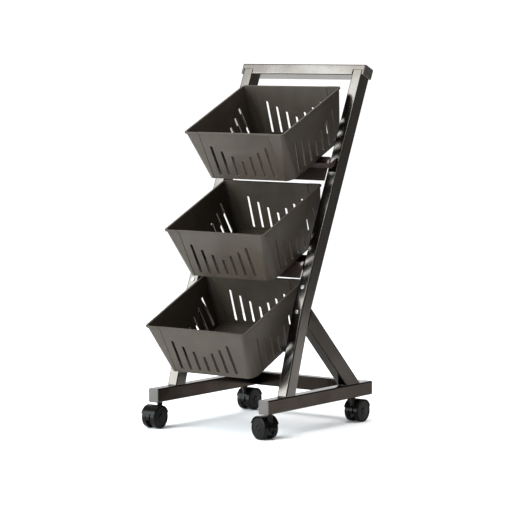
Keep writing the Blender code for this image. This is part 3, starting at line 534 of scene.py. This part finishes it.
def folded(name, half, path):
    """A strip of sheet with round bends that follows a path in the side view."""
    bpy.ops.mesh.primitive_plane_add(size=1)
    piece = bpy.context.object
    piece.name = name
    for vertex in piece.data.vertices:
        y, z = path[0] if vertex.co.y < 0 else path[1]
        vertex.co = (math.copysign(half, vertex.co.x), y, z)

    def crosswise(edge):
        """Whether an edge runs across the strip."""
        first, second = (piece.data.vertices[number].co.x for number in edge.vertices)
        return abs(first - second) > half

    def lies_at(edge, spot):
        """Whether an edge starts at a point of the path."""
        return (piece.data.vertices[edge.vertices[0]].co.yz - Vector(spot)).length < 1e-6

    pick(piece, "EDGE", lambda edge: crosswise(edge) and lies_at(edge, path[1]))
    for before, after in zip(path[1:], path[2:]):
        move = (0, after[0] - before[0], after[1] - before[1])
        bpy.ops.mesh.extrude_region_move(TRANSFORM_OT_translate={"value": move})
    close()
    if len(path) > 2:
        pick(piece, "EDGE", lambda edge: crosswise(edge) and not lies_at(edge, path[0])
             and not lies_at(edge, path[-1]))
        bpy.ops.mesh.bevel(offset=sheet_bend, segments=4, affect="EDGES")
        close()
    apply_step(piece, "SOLIDIFY", thickness=2 * half_sheet, offset=0, use_even_offset=True)
    return soften(piece, 0.0002, 1, 50)


def plane_point(depth, height):
    """Point behind the posts' front plane in a carrier's own side view."""
    return (height / math.tan(slant) + depth / math.sin(slant), height)


def down_post(run, depth):
    """Point down the posts from the carrier's seat, in the same view."""
    return (-run * math.cos(slant) + depth * math.sin(slant),
            -run * math.sin(slant) - depth * math.cos(slant))


def face_out(piece):
    """Turns all the faces of a closed form to the outside."""
    pick(piece, "FACE", lambda face: True)
    bpy.ops.mesh.normals_make_consistent(inside=False)
    close()


def plate(name, x, outline):
    """A flat end or cheek, upright in the side view at one place across the rack."""
    bpy.ops.mesh.primitive_circle_add(vertices=len(outline), radius=1, fill_type="NGON")
    piece = bpy.context.object
    piece.name = name
    for vertex, (y, z) in zip(piece.data.vertices, outline):
        vertex.co = (x, y, z)
    apply_step(piece, "SOLIDIFY", thickness=2 * half_sheet, offset=0)
    face_out(piece)
    return soften(piece, 0.0002, 1, 50)


def cheek_outline(near, far):
    """Outline of a cheek as high as the channel, between two depths."""
    return [(near, seat_floor), (far, seat_floor), (far, sheet_top), (near, sheet_top)]


def shelf(tier):
    """The flange under a basket's feet, which ends at the lip."""
    return folded("shelf", shelf_half, [(front[tier] - shelf_depth, shelf_z),
                                        (front[tier] + 2 * half_sheet, shelf_z)])


def joined(name, pieces):
    """Joins the parts of one form under its name."""
    hold(pieces[0])
    for piece in pieces:
        piece.select_set(True)
    bpy.ops.object.join()
    pieces[0].name = name
    return pieces[0]


top_lip, top_half, top_apron = front["top"] + half_sheet, 0.15075, 0.054
between_tabs, tab_near, tab_far = inside - 0.0008, 0.0008, 0.024
top_folds = [
    folded("lip", top_half, [(top_lip, sheet_top), (top_lip, fold_z),
                             (plane_point(sheet_top, seat_floor)[0], fold_z)]),
    folded("floor", between_tabs, [(-0.020, fold_z), plane_point(half_sheet, fold_z)]),
    folded("apron", between_tabs, [plane_point(half_sheet, sheet_top), down_post(top_apron, half_sheet)]),
    shelf("top"),
]
for way in (-1, 1):
    end_outline = [(front["top"], seat_floor), plane_point(-2 * seam, seat_floor),
                   plane_point(-2 * seam, sheet_top), (front["top"], sheet_top)]
    tab_outline = [down_post(tab_drop, tab_near), down_post(tab_drop, tab_far),
                   down_post(tab_top, tab_far), down_post(tab_top, tab_near)]
    top_folds += [plate("end", way * (top_half - half_sheet), end_outline),
                  plate("tab", way * (inside - half_sheet), tab_outline)]

wall_back, middle_apron = 0.0301, 0.0356
wall_middle = wall_back - half_sheet
middle_folds = [
    folded("apron", inside, [plane_point(half_sheet, sheet_top), down_post(middle_apron, half_sheet)]),
    folded("floor", inside, [plane_point(half_sheet, fold_z), (wall_middle, fold_z),
                             (wall_middle, sheet_top)]),
    shelf("middle"),
]
for way in (-1, 1):
    end_outline = [plane_point(0, seat_floor), (wall_back, seat_floor),
                   (wall_back, sheet_top), plane_point(0, sheet_top)]
    middle_folds.append(plate("end", way * (inside - half_sheet), end_outline))

channel_half, channel_width, flange_width = 0.088, 0.030, 0.012
low_front, low_back = front["lower"], front["lower"] + channel_width
low_lip, low_rear = low_front + half_sheet, low_back - half_sheet
lower_folds = [
    folded("channel", channel_half, [(low_lip, sheet_top), (low_lip, fold_z),
                                     (low_rear, fold_z), (low_rear, sheet_top)]),
    folded("flange", inside, [(low_rear - half_sheet, shelf_z), (low_back + flange_width, shelf_z)]),
    shelf("lower"),
]
for way in (-1, 1):
    cheek = cheek_outline(low_front + 0.002, low_front + 0.042)
    lower_folds += [plate("end", way * (channel_half - half_sheet), cheek_outline(low_front, low_back)),
                    plate("cheek", way * (inside - half_sheet), cheek)]

# Partly painted light: the carriers' coat is a redder brown than the tubes'. It is given only part metal so
# that it shows as lit brown where the frame's full metal coat would mirror only the dark basket above.
sheet_steel_painted_light = coated_steel("coated_steel_sheet_painted_light", (tilt, 0, 0), (0.085, 0.062, 0.056), (0.062, 0.044, 0.040))
sheet_steel_painted_light.node_tree.nodes["Principled BSDF"].inputs["Metallic"].default_value = 0.55
for tier, folds in (("top", top_folds), ("middle", middle_folds), ("lower", lower_folds)):
    carrier = joined(tier + "_basket_channel", folds)
    carrier.rotation_euler.x = tilt
    carrier.location = seats[tier]
    dress(settle(carrier), sheet_steel_painted_light, "rack", "frame_finish", tier + "_basket_carrier")


# Baskets.
# Injection moulded taupe plastic, tapered so that they nest. The corners are tight at the
# rim and wide at the floor, the front and back walls have a sunk field between two upright
# steps, and seven slots in each wall form a V. The three are one moulding.
def rounded_plate(name, low, high, radius, z):
    """A flat plate with round corners, the start of a floor or a rim."""
    bpy.ops.mesh.primitive_plane_add(size=1)
    piece = bpy.context.object
    piece.name = name
    piece.scale = (high[0] - low[0], high[1] - low[1], 1)
    piece.location = ((low[0] + high[0]) / 2, (low[1] + high[1]) / 2, z)
    settle(piece)
    pick(piece, "VERT", lambda vertex: True)
    bpy.ops.mesh.bevel(offset=radius, segments=10, affect="VERTICES")
    close()
    return piece


basket_wall = 0.0026
floor_z, wall_top = 0.0024, 0.1141
floor_low, floor_high = (-0.11295, 0.00939), (0.11295, 0.21501)
rim_low, rim_high = (-0.12925, -0.00038), (0.12925, 0.22831)
lip_scale, lip_centre = (0.1314 / 0.12925, 1.0184, 1), (0, 0.1207, wall_top)
floor_corner, rim_corner = 0.021, 0.0085
field_half, field_depth = 0.093, 0.0009
tray = joined("basket_moulding", [rounded_plate("floor", floor_low, floor_high, floor_corner, floor_z),
                                  rounded_plate("mouth", rim_low, rim_high, rim_corner, wall_top)])
pick(tray, "FACE", lambda face: face.center.z > wall_top / 2)
bpy.ops.mesh.delete(type="ONLY_FACE")
close()
pick(tray, "EDGE", lambda edge: True)
bpy.ops.mesh.bridge_edge_loops()
bpy.ops.mesh.normals_make_consistent(inside=False)
close()
for x in (-0.0935, -0.0925, 0.0925, 0.0935):
    pick(tray, "VERT", lambda vertex: True)
    bpy.ops.mesh.bisect(plane_co=(x, 0, 0), plane_no=(1, 0, 0))
    close()
for near, far, inward in ((-0.01, 0.02, 1), (0.20, 0.23, -1)):
    pick(tray, "VERT", lambda vertex: abs(vertex.co.x) < field_half and near < vertex.co.y < far)
    bpy.ops.transform.translate(value=(0, inward * field_depth, 0))
    close()
pick(tray, "FACE", lambda face: face.normal.z < -0.9)
bpy.ops.mesh.region_to_loop()
bpy.ops.mesh.bevel(offset=0.004, segments=4, affect="EDGES")
close()
pick(tray, "EDGE", lambda edge: min(tray.data.vertices[v].co.z for v in edge.vertices) > wall_top - 1e-5)
bpy.ops.mesh.extrude_region_move(TRANSFORM_OT_translate={"value": (0, 0, 0)})
bpy.ops.transform.resize(value=lip_scale, center_override=lip_centre)
close()
pick(tray, "FACE", lambda face: True)
bpy.ops.mesh.normals_make_consistent(inside=True)
close()
apply_step(tray, "SOLIDIFY", thickness=basket_wall, offset=-1, use_even_offset=True,
           use_quality_normals=True, thickness_clamp=0)
pick(tray, "VERT", lambda vertex: True)
bpy.ops.mesh.remove_doubles(threshold=0.00001)
bpy.ops.mesh.normals_make_consistent(inside=False)
close()

foot_low, foot_high = (-0.1037, 0.01877), (0.1037, 0.2057)
foot_height, foot_corner = 0.0062, 0.014
foot = rounded_plate("foot_ring", foot_low, foot_high, foot_corner, 0.0)
pick(foot, "FACE", lambda face: True)
bpy.ops.mesh.inset(thickness=basket_wall)
bpy.ops.mesh.delete(type="FACE")
close()
apply_step(foot, "SOLIDIFY", thickness=foot_height, offset=-1)
face_out(foot)
foot.location.z = foot_height - max(vertex.co.z for vertex in foot.data.vertices)
cut(tray, settle(foot), "UNION")
stop_half, stop_low, stop_thickness = 0.025, -0.008, 0.004
stop_y = seat_lip + 2 * half_sheet / math.sin(slant) + seam
for middle in (-0.060, 0.060):
    stop = block("stop", (middle - stop_half, stop_y, stop_low),
                 (middle + stop_half, stop_y + stop_thickness, foot_height))
    cut(tray, soften(stop, 0.0008), "UNION")

slot_lengths = (0.038, 0.049, 0.060, 0.072)
slot_radius, slot_pitch = 0.0036, 0.024
slot_bottom = 0.011 + slot_radius
wall_places = {"front": (0, 0.0085), "back": (0, 0.2175),
               "left": (-0.118, 0.11223), "right": (0.118, 0.11223)}
for wall, (x, y) in wall_places.items():
    for count in range(-3, 4):
        slot = round_blank("slot_cutter", 20, slot_radius, 0.05, turn=(math.pi / 2, 0, 0))
        pick(slot, "VERT", lambda vertex: vertex.co.z > 0.0001)
        bpy.ops.transform.translate(value=(0, 0, slot_lengths[abs(count)] - 2 * slot_radius))
        close()
        if wall in ("front", "back"):
            slot.location = (x + count * slot_pitch, y, slot_bottom)
        else:
            slot.rotation_euler.z = math.pi / 2
            slot.location = (x, y + count * slot_pitch, slot_bottom)
        cut(tray, settle(slot))
soften(tray, 0.00045, 2, 32)


def moulded_taupe():
    """Satin taupe plastic with a fine grain, flow marks, light specks and scuffs."""
    colour = (0.037, 0.0285, 0.021)
    made, surface, place = new_finish("moulded_taupe", colour, 0.0, 0.42)
    flow_marks = place.moved(stretch=(1, 1, 0.35)).noise(22, 3)
    grain = place.noise(2400, 2)
    speck = place.noise(5200, 1).between(0.68, 0.72)
    wave = place.noise(9, 2)
    scuff = place.moved(stretch=(0.3, 1, 1)).noise(240, 4, 0.7).between(0.66, 0.76)
    tone = flow_marks.between(0.3, 0.7).mix((0.041, 0.032, 0.0235, 1), (0.033, 0.025, 0.018, 1))
    tone = (speck * 0.08).mix(tone, (0.10, 0.088, 0.078, 1))
    place.feed(surface.inputs["Base Color"], tone)
    surface.inputs["Specular IOR Level"].default_value = 0.24
    rough = 0.36 + grain * 0.08 + scuff * 0.10 + wave * 0.05
    place.feed(surface.inputs["Roughness"], rough)
    height = grain * 0.6 + wave * 4.0
    bump = place.wired("Bump", {}, {"Strength": 0.12, "Distance": 0.0003, "Height": height})
    place.feed(surface.inputs["Normal"], bump)
    return made


taupe = moulded_taupe()
for tier in seats:
    basket = copy_of(tray, tier + "_basket_moulding")
    basket.rotation_euler.x = tilt
    basket.location = basket_point(tier, 0, 0)
    dress(settle(basket), taupe, tier + "_basket", "basket_plastic", tier + "_basket")
bpy.data.objects.remove(tray)


# Casters.
# Twin wheel furniture casters in black gloss nylon: two dished discs on one axle, a web
# between them, a hood over their tops and a boss that turns on the stem.
def gloss_nylon():
    """Black gloss nylon with faint clouds and scuffs."""
    made, surface, place = new_finish("gloss_nylon", (0.012, 0.012, 0.013), 0.0, 0.20)
    cloud = place.noise(55, 3)
    scuff = place.noise(420, 5, 0.7).between(0.62, 0.74)
    fine = place.noise(3000, 1)
    tone = scuff.mix((0.0035, 0.003, 0.0025, 1), (0.014, 0.011, 0.009, 1))
    place.feed(surface.inputs["Base Color"], tone)
    surface.inputs["Specular IOR Level"].default_value = 0.09
    place.feed(surface.inputs["Roughness"], 0.13 + cloud * 0.10 + scuff * 0.22)
    height = cloud * 1.2 + fine * 0.25
    bump = place.wired("Bump", {}, {"Strength": 0.10, "Distance": 0.0003, "Height": height})
    place.feed(surface.inputs["Normal"], bump)
    return made


nylon = gloss_nylon()
wheel_radius, wheel_width, wheel_offset = 0.024, 0.0115, 0.00625
wheel = round_blank("caster_wheel", 72, wheel_radius, wheel_width, (0, 0, wheel_width / 2))
outer_steps = ((0.0032, 0.0), (0.0006, -0.0010), (0.0090, 0.0004), (0.0036, 0.0003),
               (0.0006, 0.0006), (0.0022, 0.0004), (0.0008, -0.0012))
inner_steps = ((0.0034, 0.0), (0.0004, -0.0060), (0.0120, 0.0), (0.0003, 0.0055))
for facing, steps in ((1, outer_steps), (-1, inner_steps)):
    pick(wheel, "FACE", lambda face: face.normal.z * facing > 0.9)
    for thickness, depth in steps:
        bpy.ops.mesh.inset(thickness=thickness, depth=depth)
    close()
pick(wheel, "EDGE", lambda edge: all(wheel.data.vertices[v].co.xy.length > wheel_radius - 0.0002
                                     and wheel.data.vertices[v].co.z > 0.011 for v in edge.vertices))
bpy.ops.mesh.bevel(offset=0.0026, segments=5, affect="EDGES")
close()
soften(wheel, 0.0003, 2, 30)

sideways = (0, math.pi / 2, 0)
hood_radius, hood_width, hood_end = 0.0258, 0.0355, math.radians(75)
stem_back = 0.017
shell = round_blank("caster_hood", 96, hood_radius, hood_width, turn=sideways, ends="NOTHING")
pick(shell, "VERT", lambda vertex: math.atan2(abs(vertex.co.y), vertex.co.z) > hood_end)
bpy.ops.mesh.delete(type="VERT")
close()
apply_step(shell, "SOLIDIFY", thickness=0.0012, offset=-1, use_even_offset=True)
web = round_blank("caster_web", 96, 0.0252, 0.008, turn=sideways)
web_low, web_reach, web_end = -0.0063, 0.0257, math.radians(100)
for way in (-1, 1):
    slope_y, slope_z = way * web_reach * math.sin(web_end), web_reach * math.cos(web_end) - web_low
    saw(web, (0, 0, web_low), Vector((0, way * slope_z, -abs(slope_y))).normalized())
boss = round_blank("caster_boss", 40, 0.0058, 0.0181, (0, stem_back, 0.01755))
cut(shell, web, "UNION")
cut(shell, boss, "UNION")
cut(shell, round_blank("stem_bore", 40, 0.0038, 0.030, (0, stem_back, 0.020)))
cut(shell, round_blank("axle_bore", 24, 0.0033, 0.020, turn=sideways))
soften(shell, 0.0004, 3, 30)

caster_places = {"front_left": (-1, 0.022, 0.0), "front_right": (1, 0.022, math.radians(-106)),
                 "rear_left": (-1, 0.321, math.pi), "rear_right": (1, 0.321, math.pi)}
for corner, (way, y, turn) in caster_places.items():
    stem = Matrix.Translation((way * post_spacing / 2, frame_front + y, 0)) @ Matrix.Rotation(turn, 4, "Z")
    hub = stem @ Matrix.Translation((0, -stem_back, wheel_radius))
    hood = copy_of(shell, corner + "_caster_shell")
    hood.matrix_world = hub
    dress(settle(hood), nylon, corner + "_caster", "caster_plastic", corner + "_caster_hood")
    for side, facing in (("left", -1), ("right", 1)):
        disc = copy_of(wheel, corner + "_caster_" + side + "_disc")
        disc.matrix_world = (hub @ Matrix.Translation((facing * wheel_offset, 0, 0))
                             @ Matrix.Rotation(facing * math.pi / 2, 4, "Y"))
        dress(settle(disc), nylon, corner + "_" + side + "_wheel", "caster_plastic",
              corner + "_caster_" + side + "_wheel")
bpy.data.objects.remove(wheel)
bpy.data.objects.remove(shell)


# Sleeves, stems, axles and nuts.
# Turned and drawn steel parts inside the tubes and the casters. The sleeves and nuts have
# bright zinc plate. The stems and axles are blackened, and only their collars and heads show.
bright_zinc = zinc("zinc_plate_bright", (0.60, 0.58, 0.54))
black_zinc = zinc("zinc_plate_blackened", (0.020, 0.015, 0.012))
hidden = [side + "_post_sleeve" for side in ("left", "right")]
hidden += [corner + "_caster_" + part for corner in caster_places for part in ("stem", "axle", "nut")]
for node in hidden:
    nodes[node].data.materials.clear()
    nodes[node].data.materials.append(black_zinc if node.endswith(("stem", "axle")) else bright_zinc)


# Studio.
# A small matt floor of pale paint under a pale sky, which is brighter overhead and behind
# the rack's left. One large cool softbox at the front left is mirrored by the posts and bar.
bpy.ops.mesh.primitive_plane_add(size=3.4)
floor = bpy.context.object
floor.name = "studio_floor"
floor.data.materials.append(new_finish("studio_floor_paint", (0.9, 0.9, 0.9), 0.0, 0.9)[0])

world = bpy.data.worlds.new("studio")
bpy.context.scene.world = world
world.use_nodes = True
sky = world.node_tree.nodes["Background"]
sky.inputs["Color"].default_value = (1, 1, 1, 1)
flow = Flow(world.node_tree)
direction = flow.wired("TexCoord", {}, {})
toward = flow.wired("VectorMath", {"operation": "DOT_PRODUCT"}, {0: direction, 1: (-0.6, 0.8, 0)}, 1)
overhead = direction.axis(2).between(0.80, 1.0)
flow.feed(sky.inputs["Strength"], 0.27 + toward.between(0.45, 0.90) * 0.85 + overhead * 6.0)


def placed(name, data, place, target):
    """Puts a lamp or a camera at a place, looking at a target."""
    holder = bpy.data.objects.new(name, data)
    bpy.context.scene.collection.objects.link(holder)
    holder.location = place
    holder.rotation_euler = (Vector(target) - holder.location).to_track_quat("-Z", "Y").to_euler()
    return holder


window_glow, window_width, window_height = 9.8, 2.1, 3.1
window = bpy.data.lights.new("window_softbox", "AREA")
window.shape = "RECTANGLE"
window.size, window.size_y = window_width, window_height
window.energy = window_glow * math.pi * window_width * window_height
window.color = (0.87, 0.955, 1.0)
placed("window_softbox", window, (-1.15, -2.10, 1.35), (0, 0, 0.85))

sight = bpy.data.cameras.new("camera")
sight.lens = 170.155
sight.sensor_width = 36
bpy.context.scene.camera = placed("camera", sight, (3.1342, -4.16035, 0.8191), (0.0158, -0.00435, 0.3554))
bpy.context.scene.view_settings.view_transform = "Standard"
